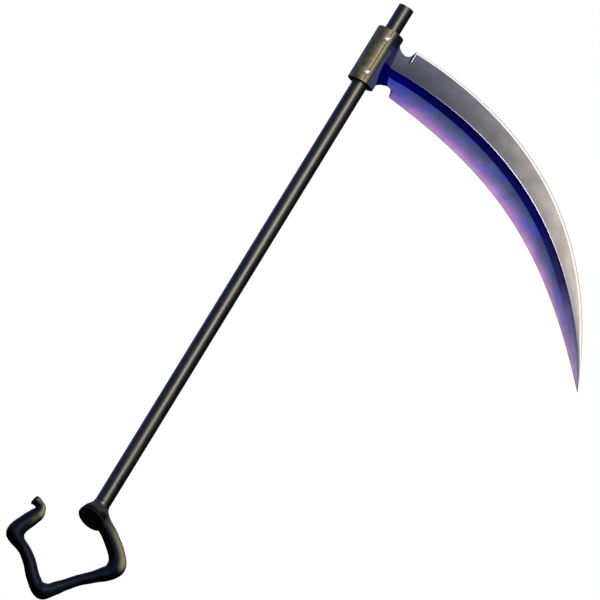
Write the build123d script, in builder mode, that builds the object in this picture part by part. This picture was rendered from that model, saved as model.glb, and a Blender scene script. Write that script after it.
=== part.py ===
from build123d import *
import math
import os

# Long-handled hand scythe. Millimetres, +Z up the shaft, the blade reaches out along +X and
# the screw heads face -Y. The origin is on the shaft's axis, half way down its free length.

# ---- Driving dimensions ----------------------------------------------------------------
shaft_radius = 16.5
shaft_wall = 2.5
grip_half_length = 503.0        # origin to the collar's foot, and to the shaft's foot
stub_length = 60.5              # shaft standing out above the collar

collar_radius = 29.0
collar_length = 122.0
collar_sheet = 3.0
rim_chamfer = 0.6

blade_reach = 695.0             # shaft axis to the blade's tip, along X
blade_drop = 371.0              # collar's middle down to the blade's tip
ridge_half_thickness = 3.2
crease_half_thickness = 1.8
back_half_thickness = 0.5
edge_half_thickness = 0.2
back_bevel = 5.0                # width of the narrow bevel along the blade's back
tip_slimness = 0.35             # thickness at the tip, as a share of that at the heel

screw_radius = 4.0              # M8
screw_spacing = 80.0
running_gap = 0.05              # radial, between pieces that turn or slide
end_gap = 0.1                   # between end faces that slide past each other

# ---- Heights and radii worked out from them --------------------------------------------
foot_z = -grip_half_length
collar_z = grip_half_length + collar_length / 2
collar_foot_z = collar_z - collar_length / 2
collar_top_z = collar_z + collar_length / 2
shaft_top_z = collar_top_z + stub_length
shaft_bore = shaft_radius - shaft_wall
shell_bore = collar_radius - collar_sheet

bush_bore = shaft_radius + running_gap
bush_radius = 20.0
bush_flange_radius = 22.5
bush_flange = 2.0
bush_slot = 2.0
liner_bore = bush_radius + running_gap
liner_length = collar_length - 2 * (bush_flange + end_gap)

screw_heights = {
    "upper": collar_z + screw_spacing / 2,
    "lower": collar_z - screw_spacing / 2,
}
seat_depth = 1.0                # flat seats cut into the round collar for the screw heads
seat_y = collar_radius - seat_depth
seat_margin = 0.5               # between a head and the rim of its seat
sheet_hole_gap = 0.3            # between a screw and its hole through the sheet
head_radius = 8.0
head_height = 6.0
head_side = 1.2                 # straight side of the head, below its dome
dome_rise = head_height - head_side
dome_radius = (head_radius**2 + dome_rise**2) / (2 * dome_rise)
slot_width = 1.2
slot_depth = 1.8
slot_turn = 35                  # degrees
pad_length = 4.0
pad_end = liner_bore + pad_length
nose_radius = 1.8
nose_length = 2.0

# Cross pin that holds the crook's spigot in the shaft, driven in from the back.
crook_pin_radius = 3.0
crook_pin_depth = 26.0
crook_pin_height = 30.0         # above the shaft's foot
pin_plane = Plane(
    origin=(0, shaft_radius, foot_z + crook_pin_height), x_dir=(1, 0, 0), z_dir=(0, -1, 0)
)


def export(piece, name):
    """Label one finished piece and write it as its own node."""
    piece.part.label = name
    export_step(piece.part, f"parts/{name}.step")


def outward(height):
    """Plane at a screw's height whose X points out of the collar's front, along -Y."""
    return Plane(origin=(0, 0, height), x_dir=(0, -1, 0), z_dir=(0, 0, 1))


os.makedirs("parts", exist_ok=True)

# ---- Shaft: a tube, closed by a cupped plug at the top -----------------------------------
plug_length = 18.0
plug_face = 5.0
plug_wall = 4.0
plug_chamfer = 0.8

with BuildPart() as shaft_tube:
    with BuildSketch(Plane.XY.offset(foot_z)):
        Circle(shaft_radius)
        Circle(shaft_bore, mode=Mode.SUBTRACT)
    extrude(amount=shaft_top_z - foot_z)
    with BuildSketch(pin_plane):
        Circle(crook_pin_radius)
    extrude(amount=shaft_radius, mode=Mode.SUBTRACT)

with BuildPart() as top_plug:
    with BuildSketch(Plane.XY.offset(shaft_top_z - plug_length)):
        Circle(shaft_bore)
    extrude(amount=plug_length)
    chamfer(top_plug.faces().sort_by(Axis.Z)[-1].edges(), plug_chamfer)
    with BuildSketch(Plane.XY.offset(shaft_top_z - plug_length)):
        Circle(shaft_bore - plug_wall)
    extrude(amount=plug_length - plug_face, mode=Mode.SUBTRACT)

# ---- Crook: forged bar bent round to an open square, with a knob at the shaft's foot -----
# Bar stations: x, height above the shaft's foot, heading in degrees, and bar radius.
# The bar is thin along its two lower legs and swells at every corner.
bar_stations = [
    (0, 0, -90, 16.5),
    (2, -12, -70, 16.4),
    (20, -34, -37, 16.5),
    (47.5, -51, -38, 16.4),
    (73, -71.5, -45, 17),
    (89.5, -98, -90, 19.2),
    (80, -120, -133, 15.3),
    (60, -141, -134, 12.2),
    (41, -159.5, -135, 11.3),
    (22, -182.5, -130, 11.6),
    (8, -200, -130, 13.5),
    (-11, -218, 180, 17.8),
    (-31, -211.5, 138, 14.4),
    (-45, -200, 136, 13.8),
    (-62, -182, 137, 13.3),
    (-83, -166, 148, 12.6),
    (-117, -147, 109, 18.8),
    (-108.5, -112, 68, 15.9),
    (-100, -92, 70, 14.6),
    (-99.5, -76, 110, 10.6),
    (-109, -70, 152, 9.8),
    (-121.5, -68, 168, 11.2),
]
# Knob stations: x, height above the shaft's foot, radius, and share of the face's slope.
knob_stations = [
    (0, 0, 16.4, 0),
    (-1, -10, 17.6, 0.25),
    (-1, -22, 25, 0.6),
    (-2, -31, 28.6, 0.9),
]
knob_face_radius = 29.5
knob_face_centre = (-3, 0, foot_z - 42)
knob_face_normal = Vector(-0.15, -0.37, -0.92).normalized()
foot_pad_radius = 30.0
foot_pad_thickness = 4.0
foot_stud_radius = 8.0
foot_stud_length = 12.0
spigot_length = 60.0
free_end_round = 5.0


def across_bar(x, height, heading):
    """Plane square to the bar, whose heading is measured in the XZ plane from +X."""
    angle = math.radians(heading)
    return Plane(
        origin=(x, 0, foot_z + height),
        x_dir=(0, 1, 0),
        z_dir=(math.cos(angle), 0, math.sin(angle)),
    )


def knob_plane(x, height, share):
    """Plane across the knob, turning from level to the slope of its end face."""
    normal = Vector(0, 0, -1) * (1 - share) + knob_face_normal * share
    return Plane(origin=(x, 0, foot_z + height), x_dir=(1, 0, 0), z_dir=normal)


foot_plane = Plane(origin=knob_face_centre, x_dir=(1, 0, 0), z_dir=knob_face_normal)

with BuildPart() as crook:
    for x, height, heading, radius in bar_stations:
        with BuildSketch(across_bar(x, height, heading)):
            Circle(radius)
    loft()
    fillet(crook.faces().sort_by(Axis.X)[0].edges(), free_end_round)
    for x, height, radius, share in knob_stations:
        with BuildSketch(knob_plane(x, height, share)):
            Circle(radius)
    with BuildSketch(foot_plane.offset(-foot_pad_thickness)):
        Circle(knob_face_radius)
    loft()
    with BuildSketch(Plane.XY.offset(foot_z)):
        Circle(shaft_bore)
    extrude(amount=spigot_length)
    with BuildSketch(pin_plane):
        Circle(crook_pin_radius)
    extrude(amount=crook_pin_depth, mode=Mode.SUBTRACT)
    with BuildSketch(foot_plane):
        Circle(foot_stud_radius)
    extrude(amount=-(foot_pad_thickness + foot_stud_length), mode=Mode.SUBTRACT)

with BuildPart() as foot_pad:
    with BuildSketch(foot_plane):
        Circle(foot_pad_radius)
    extrude(amount=-foot_pad_thickness)
    with BuildSketch(foot_plane):
        Circle(foot_stud_radius)
    extrude(amount=-(foot_pad_thickness + foot_stud_length))
    add(crook.part, mode=Mode.SUBTRACT)

with BuildPart() as crook_pin:
    with BuildSketch(pin_plane):
        Circle(crook_pin_radius)
    extrude(amount=crook_pin_depth)
    with BuildSketch(Plane.XY.offset(foot_z)):
        Circle(shaft_radius)
    extrude(amount=spigot_length, mode=Mode.INTERSECT)

# ---- Split bush: a flanged sleeve that slides on the shaft and grips it when squeezed ------
with BuildPart() as split_bush:
    with BuildSketch(Plane.XY.offset(collar_foot_z)):
        Circle(bush_radius)
    extrude(amount=collar_length)
    for flange_z in (collar_foot_z, collar_top_z - bush_flange):
        with BuildSketch(Plane.XY.offset(flange_z)):
            Circle(bush_flange_radius)
        extrude(amount=bush_flange)
    with BuildSketch(Plane.XY.offset(collar_foot_z)):
        Circle(bush_bore)
        with Locations((0, bush_radius)):
            Rectangle(bush_slot, bush_radius)
    extrude(amount=collar_length, mode=Mode.SUBTRACT)

# ---- Liner: two cast half shells that fill the collar round the bush, with dowels between --
dowel_radius = 1.5
dowel_length = 12.0
dowel_circle = (liner_bore + shell_bore) / 2
dowel_spacing = 104.0
dowel_heights = (collar_z - dowel_spacing / 2, collar_z + dowel_spacing / 2)


def liner_half(side):
    """One half of the liner: side is -1 for the front and +1 for the rear."""
    with BuildPart() as half:
        with BuildSketch(Plane.XY.offset(collar_z - liner_length / 2)):
            Circle(shell_bore)
            Circle(liner_bore, mode=Mode.SUBTRACT)
            with Locations((0, -side * collar_radius)):
                Rectangle(2 * collar_radius, 2 * collar_radius, mode=Mode.SUBTRACT)
        extrude(amount=liner_length)
        for height in dowel_heights:
            with BuildSketch(Plane.XZ.offset(-side * dowel_length / 2)):
                with Locations((-dowel_circle, height), (dowel_circle, height)):
                    Circle(dowel_radius)
            extrude(amount=side * dowel_length / 2, mode=Mode.SUBTRACT)
    return half


liner_rear = liner_half(+1)
liner_front = liner_half(-1)
with BuildPart() as liner_front_tapped:
    add(liner_front.part)
    for height in screw_heights.values():
        with BuildSketch(Plane.XZ):
            with Locations((0, height)):
                Circle(screw_radius + running_gap)
        extrude(amount=collar_radius, mode=Mode.SUBTRACT)

with BuildPart() as liner_dowels:
    for height in dowel_heights:
        with BuildSketch(Plane.XZ.offset(-dowel_length / 2)):
            with Locations((-dowel_circle, height), (dowel_circle, height)):
                Circle(dowel_radius)
        extrude(amount=dowel_length)

# ---- Socket shell: sheet rolled into a collar, its edges meeting in a seam at the front ----
seam_gap = 1.2
seam_x = 2.4
root_screw_heights = (collar_z - 28, collar_z + 8)
root_screw_radius = 2.5         # M5
root_screw_length = 7.5
countersink_radius = 5.0

with BuildPart() as socket_shell:
    with BuildSketch(Plane.XY.offset(collar_foot_z)):
        Circle(collar_radius)
        Circle(shell_bore, mode=Mode.SUBTRACT)
        with Locations((seam_x, -collar_radius)):
            Rectangle(seam_gap, 4 * collar_sheet, mode=Mode.SUBTRACT)
    extrude(amount=collar_length)
    outer_rims = socket_shell.edges().filter_by(GeomType.CIRCLE).filter_by(
        lambda rim: abs(rim.radius - collar_radius) < 0.1
    )
    chamfer(outer_rims, rim_chamfer)
    for height in screw_heights.values():
        with BuildSketch(Plane.XZ.offset(seat_y)):
            with Locations((0, height)):
                Circle(head_radius + seat_margin)
        extrude(amount=collar_radius, mode=Mode.SUBTRACT)
        with BuildSketch(Plane.XZ):
            with Locations((0, height)):
                Circle(screw_radius + sheet_hole_gap)
        extrude(amount=collar_radius, mode=Mode.SUBTRACT)
    for height in root_screw_heights:
        with BuildSketch(Plane(origin=(0, 0, height), x_dir=(1, 0, 0), z_dir=(0, 1, 0))):
            with BuildLine():
                Polyline(
                    (0, 0),
                    (0, countersink_radius),
                    (shell_bore, countersink_radius),
                    (shell_bore + countersink_radius - root_screw_radius, root_screw_radius),
                    (collar_radius + 1, root_screw_radius),
                    (collar_radius + 1, 0),
                    close=True,
                )
            make_face()
        revolve(axis=Axis((0, 0, height), (1, 0, 0)), mode=Mode.SUBTRACT)

# ---- Clamp screws and their pressure pads ---------------------------------------------------
for place, height in screw_heights.items():
    with BuildPart() as pressure_pad:
        with BuildSketch(Plane.XZ):
            with Locations((0, height)):
                Circle(screw_radius - running_gap)
        extrude(amount=pad_end)
        with BuildSketch(Plane.XY.offset(height - screw_radius)):
            Circle(liner_bore)
        extrude(amount=2 * screw_radius, mode=Mode.SUBTRACT)
        with BuildSketch(Plane.XZ.offset(pad_end - nose_length - end_gap)):
            with Locations((0, height)):
                Circle(nose_radius + running_gap)
        extrude(amount=nose_length + end_gap, mode=Mode.SUBTRACT)
    export(pressure_pad, f"pressure_pad_{place}")

    with BuildPart() as clamp_screw:
        with BuildSketch(outward(height)):
            with BuildLine():
                Polyline(
                    (seat_y + head_height, 0),
                    (pad_end - nose_length, 0),
                    (pad_end - nose_length, nose_radius),
                    (pad_end + end_gap, nose_radius),
                    (pad_end + end_gap, screw_radius),
                    (seat_y + end_gap, screw_radius),
                    (seat_y + end_gap, head_radius),
                    (seat_y + head_side, head_radius),
                )
                RadiusArc(
                    (seat_y + head_side, head_radius), (seat_y + head_height, 0), dome_radius
                )
            make_face()
        revolve(axis=Axis((0, 0, height), (0, -1, 0)))
        with BuildSketch(Plane.XZ.offset(seat_y + head_height)):
            with Locations((0, height)):
                Rectangle(3 * head_radius, slot_width, rotation=slot_turn)
        extrude(amount=-slot_depth, mode=Mode.SUBTRACT)
    export(clamp_screw, f"clamp_screw_{place}")

# ---- Blade: back and edge are two long curves that meet at the tip --------------------------
heel_x = 63.5
back_heel = 54.5                # the heel's two ends, from the collar's middle
edge_heel = -55.0
back_heel_z = collar_z + back_heel
edge_heel_z = collar_z + edge_heel
tip_z = collar_z - blade_drop
blade_stations = 16
tip_share = 0.998               # the last section stands just short of the point
bevel_slope = 0.25              # thickness that each face gains per length across the back bevel
root_x = 20.3                   # the blade and its root start inside the collar


def curve_point(start, start_pull, end_pull, end, share):
    """Point on the smooth curve from start to end that leaves and arrives along its pulls."""
    rest = 1 - share
    weights = (rest**3, 3 * rest**2 * share, 3 * rest * share**2, share**3)
    corners = (start, start_pull, end_pull, end)
    return sum((Vector(*corner) * weight for corner, weight in zip(corners, weights)), Vector(0, 0))


def back_point(share):
    """Blade's back in the XZ plane, from the heel at 0 to the tip at 1."""
    start, end = (heel_x, back_heel_z), (blade_reach, tip_z)
    return curve_point(start, (371, collar_z + 53.3), (582, collar_z - 92.7), end, share)


def edge_point(share):
    """Blade's cutting edge in the XZ plane, from the heel at 0 to the tip at 1."""
    start, end = (heel_x, edge_heel_z), (blade_reach, tip_z)
    return curve_point(start, (332, collar_z - 79), (488, collar_z - 150), end, share)


def ridge_share(share):
    """How far the ridge lies from the back towards the edge."""
    return 0.488 + 0.02 * (1 - share) ** 16 - 0.12 * share - 0.25 * share**8


def crease_share(share):
    """How far the crease below the ridge lies from the back towards the edge."""
    ridge = ridge_share(share)
    return ridge + (1 - ridge) * (0.29 + 0.05 * (1 - share) ** 16 + 0.5 * share**5)


def blade_section(back, edge, share):
    """Closed outline across the blade, on the plane through its back and edge points."""
    width = (edge - back).length
    along = (edge - back).normalized()
    slimness = 1 - (1 - tip_slimness) * share
    ridge = ridge_share(share) * width
    bevel = min(back_bevel, ridge / 2)
    half = [
        (0, back_half_thickness * slimness),
        (bevel, (back_half_thickness + bevel_slope * bevel) * slimness),
        (ridge, ridge_half_thickness * slimness),
        (crease_share(share) * width, crease_half_thickness * slimness),
        (width, edge_half_thickness),
    ]
    plane = Plane(
        origin=(back.X, 0, back.Y),
        x_dir=(along.X, 0, along.Y),
        z_dir=Vector(along.X, 0, along.Y).cross(Vector(0, 1, 0)),
    )
    return plane, half + [(across, -thickness) for across, thickness in reversed(half)]


# Notch corners, from the collar to the heel's spur: side, inner end, bottom, outer end, spur.
notches = (
    (+1, (29, 47), (49, 35.6), (61.2, 47), (heel_x, back_heel)),
    (-1, (29, -46), (48, -37.1), (59.5, -40.5), (heel_x, edge_heel)),
)
notch_inner_radius = 26.0
notch_outer_radius = 14.0
notch_clear = 70.0              # how far the cut runs out past the blade's outline
front_plane = Plane(origin=(0, 0, collar_z), x_dir=(1, 0, 0), z_dir=(0, -1, 0))

# Root: the blade swells towards the collar's side, and thin wings of it wrap the collar.
root_ridge_x = 35.5             # where the ridge leaves the swollen root
root_ridge_height = -1.7        # the ridge's height there, from the collar's middle
root_reach = 46.0               # height of the root above and below the ridge
root_half = [(7.5, 47.5), (15, 43), (18.5, 33), (20.9, 0)]      # half thickness, height
root_end_half = [(1.2, 1.0), (1.5, 0.9), (2.0, 0.7), (3.1, 0)]  # half thickness, share of length
wing_radius = collar_radius + 0.7
wing_waist_x = 20.2             # the wings' boundary on the collar, level with the ridge
wing_corner_x = 28.2            # the wings' boundary on the collar, at root_reach
wing_outer_x = 32.0


def root_flare(side, end_x):
    """Half of the swollen root, above (side +1) or below (-1) the ridge, between the collar
    and a sloping line across the blade that ends at end_x."""
    ridge_z = collar_z + root_ridge_height
    start_points = [(y, side * z) for y, z in root_half]
    end_line = Vector(end_x - root_ridge_x, 0, side * root_reach)
    end_plane = Plane(
        origin=(root_ridge_x, 0, ridge_z),
        x_dir=(0, 1, 0),
        z_dir=Vector(0, 1, 0).cross(end_line * side),
    )
    end_points = [(y, side * end_line.length * share) for y, share in root_end_half]
    with BuildPart() as flare:
        with BuildSketch(Plane(origin=(root_x, 0, ridge_z), x_dir=(0, 1, 0), z_dir=(1, 0, 0))):
            with BuildLine():
                Polyline(start_points + [(-y, z) for y, z in reversed(start_points)], close=True)
            make_face()
        with BuildSketch(end_plane):
            with BuildLine():
                Polyline(end_points + [(-y, z) for y, z in reversed(end_points)], close=True)
            make_face()
        loft(ruled=True)
    return flare


upper_flare = root_flare(+1, 29.6)
lower_flare = root_flare(-1, 52.5)

with BuildPart() as root_wings:
    with BuildSketch(front_plane):
        with BuildLine():
            ThreePointArc(
                (wing_corner_x, root_reach), (wing_waist_x, 0), (wing_corner_x, -root_reach)
            )
            Polyline(
                (wing_corner_x, -root_reach),
                (wing_outer_x, -root_reach),
                (wing_outer_x, root_reach),
                (wing_corner_x, root_reach),
            )
        make_face()
    extrude(amount=collar_radius, both=True)
    with BuildSketch(Plane.XY.offset(collar_foot_z)):
        Circle(wing_radius)
    extrude(amount=collar_length, mode=Mode.INTERSECT)

with BuildPart() as blade:
    sections = [blade_section(Vector(root_x, back_heel_z), Vector(root_x, edge_heel_z), 0)]
    for index in range(blade_stations + 1):
        share = tip_share * index / blade_stations
        sections.append(blade_section(back_point(share), edge_point(share), share))
    for plane, outline in sections:
        with BuildSketch(plane):
            with BuildLine():
                Polyline(outline, close=True)
            make_face()
    loft()
    add(root_wings.part)
    add(upper_flare.part)
    add(lower_flare.part)
    # Notches above and below the neck leave a spur at each corner of the heel.
    for side, inner, bottom, outer, spur in notches:
        with BuildSketch(front_plane):
            with BuildLine():
                RadiusArc(inner, bottom, -side * notch_inner_radius)
                RadiusArc(bottom, outer, -side * notch_outer_radius)
                Polyline(
                    outer,
                    spur,
                    (heel_x, side * notch_clear),
                    (root_x - 1, side * notch_clear),
                    (root_x - 1, inner[1]),
                    inner,
                )
            make_face()
        extrude(amount=collar_radius, both=True, mode=Mode.SUBTRACT)
    with BuildSketch(Plane.XY.offset(collar_foot_z)):
        Circle(collar_radius)
    extrude(amount=collar_length, mode=Mode.SUBTRACT)
    for height in root_screw_heights:
        with BuildSketch(Plane.YZ):
            with Locations((0, height)):
                Circle(root_screw_radius)
        extrude(amount=shell_bore + root_screw_length, mode=Mode.SUBTRACT)

# Root screws: from inside the sheet into the root, with heads flush with the sheet's bore.
with BuildPart() as blade_root_screws:
    for height in root_screw_heights:
        with BuildSketch(Plane(origin=(0, 0, height), x_dir=(1, 0, 0), z_dir=(0, 1, 0))):
            with BuildLine():
                Polyline(
                    (shell_bore - 2, 0),
                    (shell_bore - 2, countersink_radius),
                    (shell_bore, countersink_radius),
                    (shell_bore + countersink_radius - root_screw_radius, root_screw_radius),
                    (shell_bore + root_screw_length, root_screw_radius),
                    (shell_bore + root_screw_length, 0),
                    close=True,
                )
            make_face()
        revolve(axis=Axis((0, 0, height), (1, 0, 0)))
    with BuildSketch(Plane.XY.offset(collar_foot_z)):
        Circle(shell_bore)
    extrude(amount=collar_length, mode=Mode.SUBTRACT)

export(shaft_tube, "shaft_tube")
export(top_plug, "top_plug")
export(crook, "crook")
export(crook_pin, "crook_pin")
export(foot_pad, "foot_pad")
export(split_bush, "split_bush")
export(liner_front_tapped, "liner_front")
export(liner_rear, "liner_rear")
export(liner_dowels, "liner_dowels")
export(socket_shell, "socket_shell")
export(blade, "blade")
export(blade_root_screws, "blade_root_screws")
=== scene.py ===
import math
import bmesh
import bpy
from mathutils import Matrix, Vector


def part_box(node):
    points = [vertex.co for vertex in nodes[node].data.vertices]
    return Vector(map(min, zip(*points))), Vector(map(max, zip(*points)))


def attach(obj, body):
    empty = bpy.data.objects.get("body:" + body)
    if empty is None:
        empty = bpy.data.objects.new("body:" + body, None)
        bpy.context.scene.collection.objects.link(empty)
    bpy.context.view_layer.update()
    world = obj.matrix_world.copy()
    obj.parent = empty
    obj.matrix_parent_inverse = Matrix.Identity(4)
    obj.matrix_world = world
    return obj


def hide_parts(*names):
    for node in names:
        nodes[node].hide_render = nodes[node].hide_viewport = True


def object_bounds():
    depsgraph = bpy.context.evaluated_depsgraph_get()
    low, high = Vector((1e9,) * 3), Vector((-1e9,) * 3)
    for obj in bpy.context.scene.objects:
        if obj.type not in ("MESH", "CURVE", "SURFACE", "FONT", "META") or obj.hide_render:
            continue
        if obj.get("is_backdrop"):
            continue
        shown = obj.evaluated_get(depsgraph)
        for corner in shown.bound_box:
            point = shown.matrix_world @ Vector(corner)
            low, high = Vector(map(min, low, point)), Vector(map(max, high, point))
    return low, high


# Looks for the long-handled hand scythe. Metres, in the frame's own axes: +Z up the shaft, the
# blade reaches out along +X and its face, the seam and the clamp screws look along -Y.
# The shaft, the collar and the pieces inside it keep their CAD meshes under worked finishes.
# The blade and the crook are rebuilt here: the blade with its ground facets and its swollen
# root, the crook as one forged surface whose knob flows out of the bar.

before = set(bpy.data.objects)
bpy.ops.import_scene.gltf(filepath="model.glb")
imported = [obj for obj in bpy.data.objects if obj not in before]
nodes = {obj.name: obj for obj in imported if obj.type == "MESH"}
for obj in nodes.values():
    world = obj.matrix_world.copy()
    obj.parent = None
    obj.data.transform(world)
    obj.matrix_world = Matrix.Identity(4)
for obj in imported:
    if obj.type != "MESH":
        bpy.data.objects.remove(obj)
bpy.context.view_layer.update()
mm = 0.001
foot_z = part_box("shaft_tube")[0].z        # where the shaft ends and the crook's knob begins
shell_low, shell_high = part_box("socket_shell")
collar_z = (shell_low.z + shell_high.z) / 2


# ---- Small geometry helpers ---------------------------------------------------------------

def mix(first, second, share):
    """Value, or vector, that lies the given share of the way from first to second."""
    return first + (second - first) * share


def table_value(table, at):
    """Value at a place in a table of (place, value) pairs, straight between its rows."""
    for (before, low), (after, high) in zip(table, table[1:]):
        if at <= after:
            return mix(low, high, max(0.0, (at - before) / (after - before)))
    return table[-1][1]


def smooth_step(start, end, at):
    """0 before start, 1 after end, and a smooth rise between them."""
    share = min(1.0, max(0.0, (at - start) / (end - start)))
    return share * share * (3 - 2 * share)


def cubic(start, start_pull, end_pull, end, share):
    """Point on the smooth curve from start to end that leaves and arrives along its pulls."""
    rest = 1 - share
    weights = (rest**3, 3 * rest**2 * share, 3 * rest * share**2, share**3)
    corners = (start, start_pull, end_pull, end)
    return sum((Vector(corner) * weight for corner, weight in zip(corners, weights)), Vector((0, 0)))


def circle_centre(first, second, radius, side):
    """Centre of the circle through two points, above them (side +1) or below them (-1)."""
    first, second = Vector(first), Vector(second)
    chord = second - first
    square = Vector((-chord.y, chord.x)).normalized() * side
    return (first + second) / 2 + square * math.sqrt(radius**2 - (chord.length / 2) ** 2)


def new_piece(name, mesh, materials):
    """Object for a finished mesh, with its materials in slot order."""
    piece = bpy.data.objects.new(name, mesh)
    bpy.context.scene.collection.objects.link(piece)
    for material in materials:
        mesh.materials.append(material)
    return piece


# ---- Material builder ---------------------------------------------------------------------

def colour(red, green, blue):
    """Linear colour from the 0 to 255 values seen on a screen."""
    def linear(value):
        value /= 255
        return value / 12.92 if value <= 0.04045 else ((value + 0.055) / 1.055) ** 2.4

    return (linear(red), linear(green), linear(blue), 1.0)


studio_gain = 1.95              # how much brighter than its base colour the lights show a matt face


def seen(red, green, blue):
    """Base colour that looks like these 0 to 255 values on a matt face under the studio's light."""
    return tuple(channel / studio_gain for channel in colour(red, green, blue)[:3]) + (1.0,)


class Nodes:
    """A node tree that is put together node by node."""

    def __init__(self, tree):
        self.tree = tree

    def node(self, kind, feeds=(), **settings):
        """New node; feeds pairs its sockets, by name or number, with values or outputs."""
        made = self.tree.nodes.new("ShaderNode" + kind)
        for setting, value in settings.items():
            setattr(made, setting, value)
        for socket, value in dict(feeds).items():
            if isinstance(value, bpy.types.NodeSocket):
                self.tree.links.new(value, made.inputs[socket])
            else:
                made.inputs[socket].default_value = value
        return made

    def place(self):
        """Position in the frame, in metres."""
        return self.node("TexCoord").outputs["Object"]

    def parts_of(self, vector):
        """The three numbers of a vector."""
        return self.node("SeparateXYZ", {0: vector}).outputs

    def joined(self, x, y, z):
        """Vector made of three numbers."""
        return self.node("CombineXYZ", {0: x, 1: y, 2: z}).outputs[0]

    def calc(self, operation, first, second=0.0):
        """Arithmetic on one or two numbers."""
        return self.node("Math", {0: first, 1: second}, operation=operation).outputs[0]

    def along(self, vector, direction):
        """How far a vector reaches along a direction."""
        feeds = {0: vector, 1: direction}
        return self.node("VectorMath", feeds, operation="DOT_PRODUCT").outputs["Value"]

    def stretched(self, vector, scale, turn=(0, 0, 0)):
        """Vector turned, then scaled by its own amount along each axis."""
        turned = self.node("Mapping", {"Vector": vector, "Rotation": turn}).outputs[0]
        return self.node("Mapping", {"Vector": turned, "Scale": scale}).outputs[0]

    def noise(self, vector, scale=1.0, detail=3.0, roughness=0.5):
        """Cloudy values from 0 to 1."""
        feeds = {"Vector": vector, "Scale": scale, "Detail": detail, "Roughness": roughness}
        return self.node("TexNoise", feeds).outputs["Fac"]

    def spread(self, value, low, high, to_low=0.0, to_high=1.0):
        """Value from low to high turned into one from to_low to to_high, and held there."""
        feeds = {0: value, 1: low, 2: high, 3: to_low, 4: to_high}
        return self.node("MapRange", feeds).outputs[0]

    def ramp(self, value, stops):
        """Colour at a value, from (place, colour) stops."""
        made = self.node("ValToRGB", {0: value})
        elements = made.color_ramp.elements
        while len(elements) < len(stops):
            elements.new(0.5)
        while len(elements) > len(stops):
            elements.remove(elements[-1])
        for element, (at, shade) in zip(elements, stops):
            element.position = at
            element.color = shade
        return made.outputs[0]

    def blend(self, share, first, second, how="MIX"):
        """Second colour laid over the first by a share from 0 to 1."""
        feeds = {0: share, 6: first, 7: second}
        return self.node("Mix", feeds, data_type="RGBA", blend_type=how).outputs[2]


class Finish(Nodes):
    """A procedural material around one shader."""

    def __init__(self, name, **uniform):
        self.material = bpy.data.materials.new(name)
        self.material.use_nodes = True
        super().__init__(self.material.node_tree)
        self.shader = self.tree.nodes["Principled BSDF"]
        for socket, value in uniform.items():
            self.shader.inputs[socket.replace("_", " ")].default_value = value

    def relief(self, heights):
        """Normal of a surface raised by (height from 0 to 1, metres) layers."""
        normal = None
        for height, distance in heights:
            feeds = {"Height": height, "Distance": distance, "Strength": 1.0}
            if normal is not None:
                feeds["Normal"] = normal
            normal = self.node("Bump", feeds).outputs[0]
        return normal

    def wear_mask(self, radius, low, high):
        """1 on the edges of the piece and 0 on its faces, from how the normal turns nearby."""
        rounded = self.node("Bevel", {"Radius": radius}, samples=6).outputs[0]
        true = self.node("NewGeometry").outputs["Normal"]
        return self.spread(self.along(rounded, true), high, low)

    def finish(self, base, roughness, normal, metallic=None):
        """Join what varies over the surface to the shader, and give back the material."""
        joins = {"Base Color": base, "Roughness": roughness, "Normal": normal, "Metallic": metallic}
        for socket, output in joins.items():
            if output is not None:
                self.tree.links.new(output, self.shader.inputs[socket])
        return self.material


# ---- Finishes -----------------------------------------------------------------------------

shaft_coat = colour(84, 84, 83), colour(98, 96, 92)


def shaft_enamel():
    """Baked black enamel: faint orange peel, fine rubbing up and down, edges greyed by wear."""
    made = Finish("black_enamel_finish", Metallic=1.0)
    place = made.place()
    clouds = made.noise(place, scale=22, detail=4)
    rubbed = made.noise(made.stretched(place, (700, 700, 9)), detail=5, roughness=0.65)
    scratches = made.spread(rubbed, 0.62, 0.74)
    edges = made.wear_mask(0.9 * mm, 0.80, 0.97)
    speckle = made.spread(made.noise(place, scale=420, detail=4), 0.42, 0.6)
    chips = made.calc("MULTIPLY", edges, speckle)
    base = made.ramp(clouds, [(0.3, shaft_coat[0]), (0.7, shaft_coat[1])])
    base = made.blend(made.calc("MULTIPLY", scratches, 0.25), base, colour(74, 72, 70))
    base = made.blend(made.calc("MULTIPLY", chips, 0.6), base, colour(120, 116, 104))
    cloudy = made.spread(clouds, 0.2, 0.8, 0.38, 0.50)
    rough = made.calc("ADD", cloudy, made.calc("MULTIPLY", scratches, 0.10))
    peel = made.noise(place, scale=900, detail=2)
    normal = made.relief([(peel, 0.002 * mm), (rubbed, 0.002 * mm)])
    return made.finish(base, rough, normal)


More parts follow.
